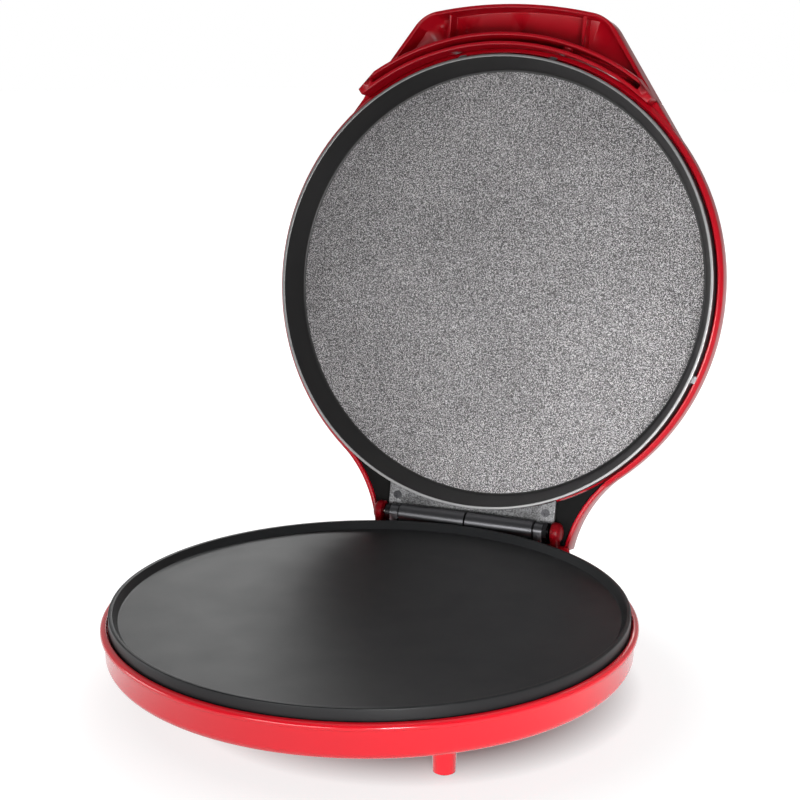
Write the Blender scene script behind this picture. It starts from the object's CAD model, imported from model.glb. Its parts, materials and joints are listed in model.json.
"""Finished look of a countertop pizza cooker: casings, plates, handle, hinge and a plain studio."""

import json
import math

import bmesh
import bpy
from mathutils import Matrix, Vector


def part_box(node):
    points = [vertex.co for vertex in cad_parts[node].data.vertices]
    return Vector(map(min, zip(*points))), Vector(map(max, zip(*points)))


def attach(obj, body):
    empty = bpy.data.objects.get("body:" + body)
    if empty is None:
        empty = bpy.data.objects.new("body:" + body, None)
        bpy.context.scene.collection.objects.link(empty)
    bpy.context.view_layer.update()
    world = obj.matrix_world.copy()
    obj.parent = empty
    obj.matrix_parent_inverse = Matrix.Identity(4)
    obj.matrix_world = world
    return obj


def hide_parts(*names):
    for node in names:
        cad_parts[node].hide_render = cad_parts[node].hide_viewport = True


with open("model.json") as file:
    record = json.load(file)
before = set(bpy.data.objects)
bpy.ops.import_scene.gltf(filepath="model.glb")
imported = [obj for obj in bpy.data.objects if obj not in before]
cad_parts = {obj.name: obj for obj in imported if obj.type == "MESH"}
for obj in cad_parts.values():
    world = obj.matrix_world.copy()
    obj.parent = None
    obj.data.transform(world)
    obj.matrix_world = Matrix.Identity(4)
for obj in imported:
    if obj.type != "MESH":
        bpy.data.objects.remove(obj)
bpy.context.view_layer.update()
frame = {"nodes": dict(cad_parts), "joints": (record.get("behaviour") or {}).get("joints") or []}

bl_info = {
    "name": "Pizza Cooker Finish",
    "version": (1, 0, 0),
    "blender": (4, 5, 0),
    "location": "View3D > Sidebar > Pizza Cooker",
    "description": "Builds the finished casings, plates, handle and hinge of a pizza cooker",
    "category": "Object",
}

MM = 0.001
HINGE = Vector(frame["joints"][0]["pos_m"])
OPEN_ANGLE = math.radians(frame["joints"][0]["range_deg"][1])
PLATE_LOW, PLATE_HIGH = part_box("lower_plate")
CENTRE = Vector(((PLATE_LOW.x + PLATE_HIGH.x) / 2, (PLATE_LOW.y + PLATE_HIGH.y) / 2, 0))
PLATE_R = (PLATE_HIGH.x - PLATE_LOW.x) / 2 / MM
PLATE_EDGE_Z = PLATE_HIGH.z / MM
LID_EDGE_Z = PLATE_EDGE_Z + 1  # the plates' edges stay 1 mm apart when the lid is closed
CHEEK_LOW_Z = 38.2 * MM        # the hinge cheeks stand above this height
CHEEK_FRONT_Y = HINGE.y - 11.5 * MM
BARREL_R = 7.3 * MM

# The plates are turned round an upright axis, and these put them on the base and on the open lid
BASE_PLACE = Matrix.Translation(CENTRE)
LID_PLACE = (
    Matrix.Translation(HINGE)
    @ Matrix.Rotation(-OPEN_ANGLE, 4, "X")
    @ Matrix.Translation(-(HINGE - CENTRE))
)

# Sections of the plates in mm: inset from the edge's radius, height over the edge, rounding
AXIS = None
LOWER_PAN_SECTION = [(AXIS, -5, 0), (5.6, -5, 1.2), (2.6, 0, 0.9), (0, 0, 0.9),
                     (0, -11, 0.3), (3.2, -11, 0.3), (3.2, -8, 0.6), (AXIS, -8, 0)]
UPPER_PAN_SECTION = [(AXIS, 18.5, 0), (8.7, 18.5, 2.2), (1.9, 0, 0.4), (0, 0, 0.4),
                     (0, 11, 0.3), (3.2, 11, 0.3), (6.0, 21.5, 1.0), (AXIS, 21.5, 0)]

# Softboxes of the studio: size, share of the key power, place, aim and spread in degrees
SOFTBOXES = {
    "key_softbox": ((0.8, 0.45), 0.7, (-0.15, -1.4, 0.16), (0, -0.1, 0.12), 180),
    "right_softbox": ((0.5, 0.4), 0.16, (0.75, -0.95, 0.14), (0.3, 0.1, 0.06), 40),
    "left_softbox": ((0.8, 0.6), 0.45, (-1.6, -0.5, 0.3), (0, 0, 0.1), 180),
    "back_softbox": ((1.4, 1.0), 1.6, (-0.5, 1.7, 1.3), (0, 0.1, 0.2), 180),
    "top_softbox": ((1.6, 1.6), 0.15, (0.1, 0.4, 2.2), (0, 0.1, 0), 180),
}
CAMERA_PLACE = (0.394068, -0.943243, 0.416289)
CAMERA_RIGHT = Vector((0.92127691, 0.38889896, 0.00254111))
CAMERA_UP = Vector((-0.09582913, 0.22067092, 0.97062924))
GLOW_CENTRE = CENTRE + Vector((0.025, 0, 0))
UNDER_BASE = (0.1, 0.145)      # distances between which the floor's own light starts
BESIDE_BASE = (0.165, 0.24)    # distances between which it grows to full strength


# Sizes and colours that a user would change

class CookerCasingLook(bpy.types.PropertyGroup):
    """Finish of the moulded casings"""

    base_colour: bpy.props.FloatVectorProperty(
        name="Base colour", description="Colour of the base's moulded plastic", subtype="COLOR",
        size=3, min=0, max=1, default=(0.93, 0.005, 0.02))
    lid_colour: bpy.props.FloatVectorProperty(
        name="Lid colour", description="Colour of the lid's and the handle's plastic", subtype="COLOR",
        size=3, min=0, max=1, default=(0.45, 0.003, 0.012))
    roughness: bpy.props.FloatProperty(
        name="Roughness", description="Roughness of the moulded plastic", subtype="FACTOR",
        min=0, max=1, default=0.2)
    edge: bpy.props.FloatProperty(
        name="Edge radius", description="Radius of the moulded edges", subtype="DISTANCE",
        unit="LENGTH", min=0.0001, max=0.002, default=0.0006)


class CookerPlateLook(bpy.types.PropertyGroup):
    """Finish of the cooking plates"""

    lower_colour: bpy.props.FloatVectorProperty(
        name="Lower coating", description="Colour of the lower plate's coating", subtype="COLOR",
        size=3, min=0, max=1, default=(0.011, 0.0115, 0.0125))
    upper_colour: bpy.props.FloatVectorProperty(
        name="Upper coating", description="Colour of the upper plate's coating", subtype="COLOR",
        size=3, min=0, max=1, default=(0.35, 0.338, 0.343))
    pebble: bpy.props.FloatProperty(
        name="Pebble size", description="Size of the pebbles in the coating", subtype="DISTANCE",
        unit="LENGTH", min=0.0005, max=0.005, default=0.00062)
    steps: bpy.props.IntProperty(
        name="Steps", description="Steps round each plate", min=64, max=720, default=288)


class CookerHingeLook(bpy.types.PropertyGroup):
    """Finish of the hinge"""

    colour: bpy.props.FloatVectorProperty(
        name="Hinge colour", description="Colour of the hinge steel", subtype="COLOR",
        size=3, min=0, max=1, default=(0.26, 0.26, 0.265))
    edge: bpy.props.FloatProperty(
        name="Edge radius", description="Radius of the pressed edges", subtype="DISTANCE",
        unit="LENGTH", min=0.0001, max=0.001, default=0.0003)


class CookerStageLook(bpy.types.PropertyGroup):
    """Floor, light and camera"""

    floor_colour: bpy.props.FloatVectorProperty(
        name="Floor colour", description="Colour of the floor", subtype="COLOR",
        size=3, min=0, max=1, default=(0.3, 0.3, 0.3))
    floor_glow: bpy.props.FloatProperty(
        name="Floor glow", description="Light that the floor adds of its own beside the base",
        min=0, max=2, default=0.8)
    key_power: bpy.props.FloatProperty(
        name="Key power", description="Power of the main softbox in watts", unit="POWER",
        min=0, max=200, default=11)
    ambient: bpy.props.FloatProperty(
        name="Ambient", description="Strength of the even light from all round",
        min=0, max=2, default=0.16)
    lens: bpy.props.FloatProperty(
        name="Lens", description="Focal length of the camera", unit="CAMERA",
        min=20, max=200, default=75.125)


# Materials

class Shader:
    """Builds one procedural material with short calls"""

    def __init__(self, name):
        self.material = bpy.data.materials.new(name)
        self.material.use_nodes = True
        self.nodes = self.material.node_tree.nodes
        self.links = self.material.node_tree.links
        self.surface = self.nodes["Principled BSDF"]
        self.place = self.add("ShaderNodeTexCoord").outputs["Object"]

    def add(self, kind, **settings):
        node = self.nodes.new(kind)
        for key, value in settings.items():
            setattr(node, key, value)
        return node

    def wire(self, value, socket):
        if isinstance(value, bpy.types.NodeSocket):
            self.links.new(value, socket)
        else:
            socket.default_value = value

    def set(self, **values):
        for key, value in values.items():
            socket = self.surface.inputs[key.replace("_", " ")]
            if socket.type == "RGBA" and isinstance(value, tuple):
                value = (*value, 1)
            self.wire(value, socket)
        return self

    def noise(self, scale, detail=3.0, stretch=None):
        node = self.add("ShaderNodeTexNoise")
        node.inputs["Scale"].default_value = scale
        node.inputs["Detail"].default_value = detail
        self.links.new(self.stretched(stretch), node.inputs["Vector"])
        return node.outputs["Fac"]

    def cells(self, scale, smooth=0.6, stretch=None):
        node = self.add("ShaderNodeTexVoronoi", feature="SMOOTH_F1")
        node.inputs["Scale"].default_value = scale
        node.inputs["Smoothness"].default_value = smooth
        self.links.new(self.stretched(stretch), node.inputs["Vector"])
        return node.outputs["Distance"]

    def stretched(self, stretch):
        if stretch is None:
            return self.place
        node = self.add("ShaderNodeMapping")
        node.inputs["Scale"].default_value = stretch
        self.links.new(self.place, node.inputs["Vector"])
        return node.outputs["Vector"]

    def between(self, value, low, high, start=0.0, end=1.0):
        node = self.add("ShaderNodeMapRange")
        for socket, item in zip(node.inputs, (value, start, end, low, high)):
            self.wire(item, socket)
        return node.outputs["Result"]

    def blend(self, factor, first, second):
        node = self.add("ShaderNodeMix", data_type="RGBA")
        self.wire(factor, node.inputs[0])
        for colour, socket in ((first, node.inputs[6]), (second, node.inputs[7])):
            self.wire(colour if isinstance(colour, bpy.types.NodeSocket) else (*colour, 1), socket)
        return node.outputs[2]

    def math(self, operation, first, second=0.0):
        node = self.add("ShaderNodeMath", operation=operation)
        self.wire(first, node.inputs[0])
        self.wire(second, node.inputs[1])
        return node.outputs[0]

    def bump(self, height, strength, distance):
        node = self.add("ShaderNodeBump")
        node.inputs["Strength"].default_value = strength
        node.inputs["Distance"].default_value = distance
        self.links.new(height, node.inputs["Height"])
        self.links.new(node.outputs["Normal"], self.surface.inputs["Normal"])
        return self


def shade(colour, factor):
    """The colour, darker or lighter"""
    return tuple(min(channel * factor, 1) for channel in colour)


def moulded_plastic(name, colour, look, gloss=1.0):
    """Plastic from a polished mould; a lower gloss makes it rougher and takes its clear skin away"""
    rough = look.roughness + 0.14 * (1 - gloss)
    s = Shader(name)
    cloud = s.noise(9, 2)
    s.set(Base_Color=s.blend(cloud, shade(colour, 0.94), shade(colour, 1.05)),
          Roughness=s.between(s.noise(60, 4), rough - 0.03, rough + 0.04),
          Specular_IOR_Level=0.2 + 0.3 * gloss, Coat_Weight=0.5 * gloss, Coat_Roughness=0.05, IOR=1.45)
    return s.bump(s.noise(1400, 2), 0.05, 0.0002).material


def lower_coating(look):
    """Smooth dark coating of the lower plate"""
    s = Shader("lower_plate_coating")
    grain = s.cells(1 / look.pebble * 1.3)
    colour = look.lower_colour
    s.set(Base_Color=s.blend(s.noise(14, 3), shade(colour, 0.85), shade(colour, 1.3)),
          Roughness=s.between(s.noise(40, 3), 0.36, 0.46), Specular_IOR_Level=0.35)
    return s.bump(grain, 0.10, 0.0002).material


def upper_coating(look):
    """Pebbled grey coating on the floor of the upper plate"""
    colour = look.upper_colour
    s = Shader("upper_plate_pebbled_coating")
    pebbles = s.cells(1 / look.pebble, 0.3)
    fine = s.noise(0.75 / look.pebble, 2)
    relief = s.math("SUBTRACT", s.math("MULTIPLY", fine, 1.5), pebbles)
    tone = s.between(relief, 0.0, 1.0, 0.15, 0.65)
    cloud = s.between(s.noise(9, 3), 0.0, 1.0, 0.3, 0.7)
    hollows = s.blend(cloud, shade(colour, 0.12), shade(colour, 0.22))
    tops = s.blend(cloud, shade(colour, 1.75), shade(colour, 2.25))
    s.set(Base_Color=s.blend(tone, hollows, tops),
          Roughness=s.between(fine, 0.36, 0.52), Specular_IOR_Level=0.5)
    return s.bump(relief, 0.6, 0.0004).material


def wall_coating(look):
    """Dark smooth coating on the wall of the upper plate"""
    s = Shader("upper_plate_wall_coating")
    dark = shade(look.upper_colour, 0.045)
    s.set(Base_Color=s.blend(s.noise(30, 3), shade(dark, 0.85), shade(dark, 1.2)),
          Roughness=s.between(s.noise(50, 3), 0.34, 0.44), Specular_IOR_Level=0.5)
    return s.bump(s.noise(900, 3), 0.12, 0.0002).material


def bare_metal(name, colour, roughness, grain=(1, 1, 1), scale=400):
    """Metal with fine lines, which grain stretches"""
    s = Shader(name)
    lines = s.noise(scale, 4, grain)
    s.set(Base_Color=s.blend(lines, shade(colour, 0.88), shade(colour, 1.1)),
          Roughness=s.between(lines, roughness - 0.06, roughness + 0.08), Metallic=1.0)
    return s.bump(lines, 0.08, 0.0001).material


def hammered_steel(look):
    """Steel with a hammered grey finish"""
    s = Shader("hinge_hammered_steel")
    dimples = s.cells(900, 0.5)
    fine = s.noise(1000, 2)
    relief = s.math("SUBTRACT", s.math("MULTIPLY", fine, 1.5), s.math("MULTIPLY", dimples, 0.6))
    tone = s.between(relief, 0.0, 1.0, 0.05, 0.75)
    s.set(Base_Color=s.blend(tone, shade(look.colour, 0.25), shade(look.colour, 1.2)),
          Roughness=s.between(fine, 0.34, 0.5), Metallic=0.6)
    return s.bump(relief, 0.5, 0.0003).material


def plain_plastic(name, colour, roughness, coat=0.0):
    """Plastic of the small parts"""
    s = Shader(name)
    s.set(Base_Color=s.blend(s.noise(120, 3), shade(colour, 0.9), shade(colour, 1.08)),
          Roughness=s.between(s.noise(200, 3), roughness - 0.04, roughness + 0.05),
          Coat_Weight=coat)
    return s.bump(s.noise(1600, 3), 0.08, 0.0002).material


def rubber(name, colour):
    """Dull soft rubber"""
    s = Shader(name)
    s.set(Base_Color=s.blend(s.noise(300, 4), shade(colour, 0.8), shade(colour, 1.3)),
          Roughness=s.between(s.noise(500, 3), 0.62, 0.8))
    return s.bump(s.noise(2400, 4), 0.25, 0.0002).material


def lens(name, colour):
    """Clear coloured cap of an indicator light"""
    s = Shader(name)
    s.set(Base_Color=s.blend(s.noise(200, 2), shade(colour, 0.85), shade(colour, 1.1)),
          Roughness=s.between(s.noise(150, 2), 0.06, 0.12), Coat_Weight=0.8, Coat_Roughness=0.03,
          Subsurface_Weight=0.15)
    s.surface.inputs["Subsurface Scale"].default_value = 0.002
    return s.material


# Mesh helpers

def add_piece(name, mesh, body, materials, replaced=()):
    """Puts a finished mesh in the scene on its body"""
    for item in materials:
        mesh.materials.append(item)
    piece = bpy.data.objects.new(name, mesh)
    bpy.context.scene.collection.objects.link(piece)
    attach(piece, body)
    if replaced:
        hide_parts(*replaced)
    return piece


def dress(node, material):
    """Gives a carried-over node its material"""
    mesh = frame["nodes"][node].data
    mesh.materials.clear()
    mesh.materials.append(material)


def shade_by_angle(mesh, degrees):
    """Smooth shading that breaks at edges sharper than the angle"""
    mesh.shade_smooth()
    mesh.set_sharp_from_angle(angle=math.radians(degrees))


def softened(node, name, radius, body, materials, limit=35, shortest=1.5, pick=None):
    """A copy of a moulding with its long sharp edges rounded; pick numbers the material of a face"""
    form = bmesh.new()
    form.from_mesh(frame["nodes"][node].data)
    bmesh.ops.remove_doubles(form, verts=form.verts, dist=2e-6)
    bmesh.ops.dissolve_limit(form, angle_limit=math.radians(0.4), verts=form.verts,
                             edges=form.edges, use_dissolve_boundaries=False)
    bmesh.ops.triangulate(form, faces=[f for f in form.faces if len(f.verts) > 4])
    wanted = [e for e in form.edges if len(e.link_faces) == 2
              and e.calc_face_angle(0) > math.radians(limit) and e.calc_length() > shortest * MM]
    bmesh.ops.bevel(form, geom=wanted, offset=radius, offset_type="OFFSET", segments=2,
                    profile=0.5, affect="EDGES", clamp_overlap=False, loop_slide=True)
    for face in form.faces:
        face.material_index = pick(face.calc_center_median()) if pick else 0
    mesh = bpy.data.meshes.new(name)
    form.to_mesh(mesh)
    form.free()
    shade_by_angle(mesh, 32)
    return add_piece(name, mesh, body, materials, [node])


def rounded_outline(corners, steps=5):
    """Points of a closed section in mm; each corner is (radius from the axis, height, rounding)"""
    points = []
    for index, (x, z, rounding) in enumerate(corners):
        here = Vector((x, z))
        if rounding == 0:
            points.append(here)
            continue
        before = Vector(corners[index - 1][:2]) - here
        after = Vector(corners[(index + 1) % len(corners)][:2]) - here
        half = before.angle(after) / 2
        reach = min(rounding / math.tan(half), before.length * 0.45, after.length * 0.45)
        radius = reach * math.tan(half)
        bisector = (before.normalized() + after.normalized()).normalized()
        middle = here + bisector * (radius / math.sin(half))
        start = here + before.normalized() * reach - middle
        turn = (here + after.normalized() * reach - middle).angle_signed(start)
        for step in range(steps + 1):
            spin = Matrix.Rotation(turn * step / steps, 2)
            points.append(middle + spin @ start)
    return points


def turned(name, corners, place, steps, pick=None):
    """A closed section turned round the plate's axis; pick gives each band its material number"""
    outline = rounded_outline(corners)
    form = bmesh.new()
    rings = []
    for point in outline:
        if point.x < 1e-6:
            rings.append([form.verts.new(place @ Vector((0, 0, point.y * MM)))])
            continue
        rings.append([form.verts.new(place @ Vector((
            point.x * MM * math.cos(2 * math.pi * k / steps),
            point.x * MM * math.sin(2 * math.pi * k / steps), point.y * MM))) for k in range(steps)])
    for index, ring in enumerate(rings):
        following = rings[(index + 1) % len(rings)]
        number = pick(outline[index], outline[(index + 1) % len(outline)]) if pick else 0
        if len(ring) == 1 and len(following) == 1:
            continue
        for k in range(steps):
            corners_of_face = [ring[k % len(ring)], ring[(k + 1) % len(ring)],
                               following[(k + 1) % len(following)], following[k % len(following)]]
            unique = list(dict.fromkeys(corners_of_face))
            form.faces.new(unique).material_index = number
    bmesh.ops.recalc_face_normals(form, faces=form.faces)
    mesh = bpy.data.meshes.new(name)
    form.to_mesh(mesh)
    form.free()
    shade_by_angle(mesh, 30)
    return mesh


# Operators

class CookerPiece:
    """What every operator here shares"""

    bl_options = {"REGISTER", "UNDO"}

    def execute(self, context):
        self.build(context.scene)
        return {"FINISHED"}


class COOKER_OT_casings(CookerPiece, bpy.types.Operator):
    """Builds the base casing and the lid casing with rounded edges"""

    bl_idname = "cooker.casings"
    bl_label = "Casings"

    def build(self, scene):
        look = scene.cooker_casing
        bright = moulded_plastic("base_red_plastic", look.base_colour, look)
        deep = moulded_plastic("lid_red_plastic", look.lid_colour, look, 0.4)
        shaded = moulded_plastic("cheek_red_plastic", shade(look.lid_colour, 0.4), look, 0.0)

        def cheek(point):
            return int(point.z > CHEEK_LOW_Z and point.y > CHEEK_FRONT_Y)

        softened("base_shell", "base_casing", look.edge, "base",
                 [bright, shaded], pick=cheek)
        softened("lid_shell", "lid_casing", look.edge, "lid", [deep])


class COOKER_OT_handle(CookerPiece, bpy.types.Operator):
    """Builds the handle moulding with its steam guard"""

    bl_idname = "cooker.handle"
    bl_label = "Handle"

    def build(self, scene):
        look = scene.cooker_casing
        softened("handle", "handle_moulding", look.edge, "lid",
                 [moulded_plastic("handle_red_plastic", look.lid_colour, look, 0.2)])


class COOKER_OT_plates(CookerPiece, bpy.types.Operator):
    """Builds both cooking plates as turned castings"""

    bl_idname = "cooker.plates"
    bl_label = "Cooking plates"

    def build(self, scene):
        look = scene.cooker_plate
        r, z = PLATE_R, LID_EDGE_Z

        def section(corners, edge_z):
            return [(0 if inset is AXIS else r - inset, edge_z + over, rounding)
                    for inset, over, rounding in corners]

        mesh = turned("lower_pan", section(LOWER_PAN_SECTION, PLATE_EDGE_Z), BASE_PLACE, look.steps)
        add_piece("lower_pan", mesh, "base", [lower_coating(look)], ["lower_plate"])

        def band(a, b):
            """2 on the bare edge, 0 on the floor, 1 on the walls"""
            if a.y < z + 0.6 and b.y < z + 0.6 and min(a.x, b.x) > r - 3:
                return 2
            if a.y > z + 18.3 and b.y > z + 18.3 and max(a.x, b.x) < r - 10 and a.y < z + 20:
                return 0
            return 1

        mesh = turned("upper_pan", section(UPPER_PAN_SECTION, z), LID_PLACE, look.steps, band)
        add_piece("upper_pan", mesh, "lid",
                  [upper_coating(look), wall_coating(look),
                   bare_metal("upper_plate_bare_edge", (0.33, 0.33, 0.33), 0.42)], ["upper_plate"])


class COOKER_OT_hinge(CookerPiece, bpy.types.Operator):
    """Finishes the hinge leaf, its bracket, pin, nut, bushes and washers"""

    bl_idname = "cooker.hinge"
    bl_label = "Hinge"

    def build(self, scene):
        look = scene.cooker_hinge
        steel = hammered_steel(look)
        rolled = bare_metal("hinge_rolled_steel", (0.17, 0.17, 0.18), 0.33, (1, 3, 3), 700)

        def barrel(point):
            return int(math.hypot(point.y - HINGE.y, point.z - HINGE.z) < BARREL_R)

        softened("hinge_leaf", "hinge_leaf_plate", look.edge, "lid",
                 [steel, rolled], shortest=2, pick=barrel)
        softened("hinge_bracket", "hinge_bracket_plate", look.edge, "base",
                 [steel, rolled], shortest=2, pick=barrel)
        dark = bare_metal("hinge_dark_steel", (0.05, 0.05, 0.053), 0.32)
        for node in ("hinge_pin", "hinge_nut", "hinge_washers", "leaf_screws"):
            dress(node, dark)
        dress("hinge_bushes", plain_plastic("bush_plastic", (0.5, 0.42, 0.3), 0.45))


class COOKER_OT_inside(CookerPiece, bpy.types.Operator):
    """Finishes the heaters, shields, screws, leads and other small parts"""

    bl_idname = "cooker.inside"
    bl_label = "Inner parts"

    def build(self, scene):
        screw = bare_metal("screw_steel", (0.22, 0.22, 0.225), 0.33)
        shield = bare_metal("shield_aluminium", (0.72, 0.72, 0.73), 0.34, (1, 12, 1), 90)
        heater = bare_metal("heater_tube_steel", (0.16, 0.165, 0.18), 0.42)
        ceramic = plain_plastic("glazed_ceramic", (0.75, 0.72, 0.62), 0.3, 0.3)
        sleeve = rubber("lead_sleeve", (0.62, 0.60, 0.54))
        black = rubber("black_rubber", (0.02, 0.02, 0.02))
        finishes = {
            screw: ("lower_clamp_screws", "lower_shield_screws", "base_plate_screws",
                    "bracket_screws", "handle_screws", "plate_clips", "upper_clamp_screws",
                    "upper_shield_screws", "lower_element_clamps", "upper_element_clamps"),
            shield: ("lower_heat_shield", "upper_heat_shield"),
            heater: ("lower_element", "upper_element"),
            ceramic: ("lower_thermostat", "upper_thermostat", "thermal_fuse", "terminal_block",
                      "lamp_holder"),
            sleeve: ("base_leads", "lid_leads"),
            black: ("foot_pads", "cord_inlet"),
        }
        for material, nodes in finishes.items():
            for node in nodes:
                dress(node, material)
        cover = plain_plastic("neck_black_plastic", (0.004, 0.004, 0.004), 0.7)
        cover.node_tree.nodes["Principled BSDF"].inputs["Specular IOR Level"].default_value = 0.15
        dress("neck_cover", cover)
        dress("power_light", lens("red_lens", (0.55, 0.01, 0.01)))
        dress("ready_light", lens("green_lens", (0.01, 0.30, 0.03)))


def softbox(name, size, power, place, aim, spread):
    """A square lamp that faces a point"""
    data = bpy.data.lights.new(name, "AREA")
    data.shape, data.size, data.size_y, data.energy = "RECTANGLE", size[0], size[1], power
    data.spread = math.radians(spread)
    lamp = bpy.data.objects.new(name, data)
    bpy.context.scene.collection.objects.link(lamp)
    lamp.location = place
    lamp.rotation_euler = (Vector(aim) - Vector(place)).to_track_quat("-Z", "Y").to_euler()


class COOKER_OT_stage(CookerPiece, bpy.types.Operator):
    """Sets up the floor, the soft studio light and the camera"""

    bl_idname = "cooker.stage"
    bl_label = "Studio"

    def build(self, scene):
        look = scene.cooker_stage
        self.build_camera(scene, look)
        self.build_floor(scene, look)
        self.build_light(scene, look)

    def build_camera(self, scene, look):
        data = bpy.data.cameras.new("studio_camera")
        data.lens, data.sensor_width, data.clip_start, data.clip_end = look.lens, 36, 0.01, 50
        camera = bpy.data.objects.new("studio_camera", data)
        scene.collection.objects.link(camera)
        axes = Matrix((CAMERA_RIGHT, CAMERA_UP, CAMERA_RIGHT.cross(CAMERA_UP))).transposed()
        camera.matrix_world = Matrix.Translation(CAMERA_PLACE) @ axes.to_4x4()
        scene.camera = camera

    def build_floor(self, scene, look):
        form = bmesh.new()
        bmesh.ops.create_circle(form, cap_ends=True, segments=96, radius=6)
        mesh = bpy.data.meshes.new("studio_floor")
        form.to_mesh(mesh)
        form.free()
        floor = bpy.data.objects.new("studio_floor", mesh)
        scene.collection.objects.link(floor)
        s = Shader("studio_floor_paint")
        paint = look.floor_colour
        s.set(Base_Color=s.blend(s.noise(3, 2), shade(paint, 0.99), shade(paint, 1.01)),
              Roughness=0.9, Specular_IOR_Level=0.1)
        rays = s.add("ShaderNodeLightPath").outputs
        mirrored = s.math("MAXIMUM", rays["Is Glossy Ray"], rays["Is Transmission Ray"])
        reach = s.add("ShaderNodeVectorMath", operation="DISTANCE")
        s.links.new(s.place, reach.inputs[0])
        reach.inputs[1].default_value = GLOW_CENTRE
        away = reach.outputs["Value"]
        level = s.math("MULTIPLY", s.between(away, look.floor_glow, 1.0, *BESIDE_BASE),
                       s.between(away, 0.0, 1.0, *UNDER_BASE))
        glow = s.add("ShaderNodeEmission")
        s.links.new(s.math("ADD", s.math("MULTIPLY", rays["Is Camera Ray"], level),
                           s.math("MULTIPLY", mirrored, 0.8)), glow.inputs["Strength"])
        both = s.add("ShaderNodeAddShader")
        s.links.new(s.surface.outputs["BSDF"], both.inputs[0])
        s.links.new(glow.outputs["Emission"], both.inputs[1])
        s.links.new(both.outputs["Shader"], s.nodes["Material Output"].inputs["Surface"])
        mesh.materials.append(s.material)

    def build_light(self, scene, look):
        for name, (size, share, place, aim, spread) in SOFTBOXES.items():
            softbox(name, size, look.key_power * share, place, aim, spread)
        world = bpy.data.worlds.new("studio_world")
        scene.world = world
        world.use_nodes = True
        nodes, links = world.node_tree.nodes, world.node_tree.links

        def mapped(value, *numbers):
            """The value carried from one range to another: from low, from high, to low, to high"""
            node = nodes.new("ShaderNodeMapRange")
            links.new(value, node.inputs["Value"])
            for socket, number in zip(node.inputs[1:5], numbers):
                if isinstance(number, bpy.types.NodeSocket):
                    links.new(number, socket)
                else:
                    socket.default_value = number
            return node.outputs["Result"]

        rays = nodes.new("ShaderNodeLightPath").outputs
        axes = nodes.new("ShaderNodeSeparateXYZ")
        links.new(nodes.new("ShaderNodeTexCoord").outputs["Generated"], axes.inputs[0])
        # What gloss mirrors: a room that is dim on the camera's side and paler behind the object
        room = mapped(axes.outputs["Y"], -0.7, 0.3, 0.06, 0.4)
        level = mapped(rays["Is Glossy Ray"], 0, 1, look.ambient, room)
        level = mapped(rays["Is Transmission Ray"], 0, 1, level, 1.0)
        level = mapped(rays["Is Camera Ray"], 0, 1, level, 1.0)
        links.new(level, nodes["Background"].inputs["Strength"])
        nodes["Background"].inputs["Color"].default_value = (1, 1, 1, 1)
        scene.view_settings.view_transform = "Standard"


OPERATORS = (COOKER_OT_casings, COOKER_OT_handle, COOKER_OT_plates, COOKER_OT_hinge,
             COOKER_OT_inside, COOKER_OT_stage)
LOOKS = {"cooker_casing": CookerCasingLook, "cooker_plate": CookerPlateLook,
         "cooker_hinge": CookerHingeLook, "cooker_stage": CookerStageLook}


class COOKER_PT_panel(bpy.types.Panel):
    """Lists the pieces and their sizes"""

    bl_idname = "COOKER_PT_panel"
    bl_label = "Pizza Cooker"
    bl_space_type = "VIEW_3D"
    bl_region_type = "UI"
    bl_category = "Pizza Cooker"

    def draw(self, context):
        for operator in OPERATORS:
            self.layout.operator(operator.bl_idname)
        for name, group in LOOKS.items():
            box = self.layout.box()
            for setting in group.__annotations__:
                box.prop(getattr(context.scene, name), setting)


def register():
    for item in (*LOOKS.values(), *OPERATORS, COOKER_PT_panel):
        bpy.utils.register_class(item)
    for name, group in LOOKS.items():
        setattr(bpy.types.Scene, name, bpy.props.PointerProperty(type=group))


def unregister():
    for name in LOOKS:
        delattr(bpy.types.Scene, name)
    for item in reversed((*LOOKS.values(), *OPERATORS, COOKER_PT_panel)):
        bpy.utils.unregister_class(item)


def main():
    register()
    bpy.ops.cooker.casings()
    bpy.ops.cooker.handle()
    bpy.ops.cooker.plates()
    bpy.ops.cooker.hinge()
    bpy.ops.cooker.inside()
    bpy.ops.cooker.stage()


if __name__ == "__main__":
    main()
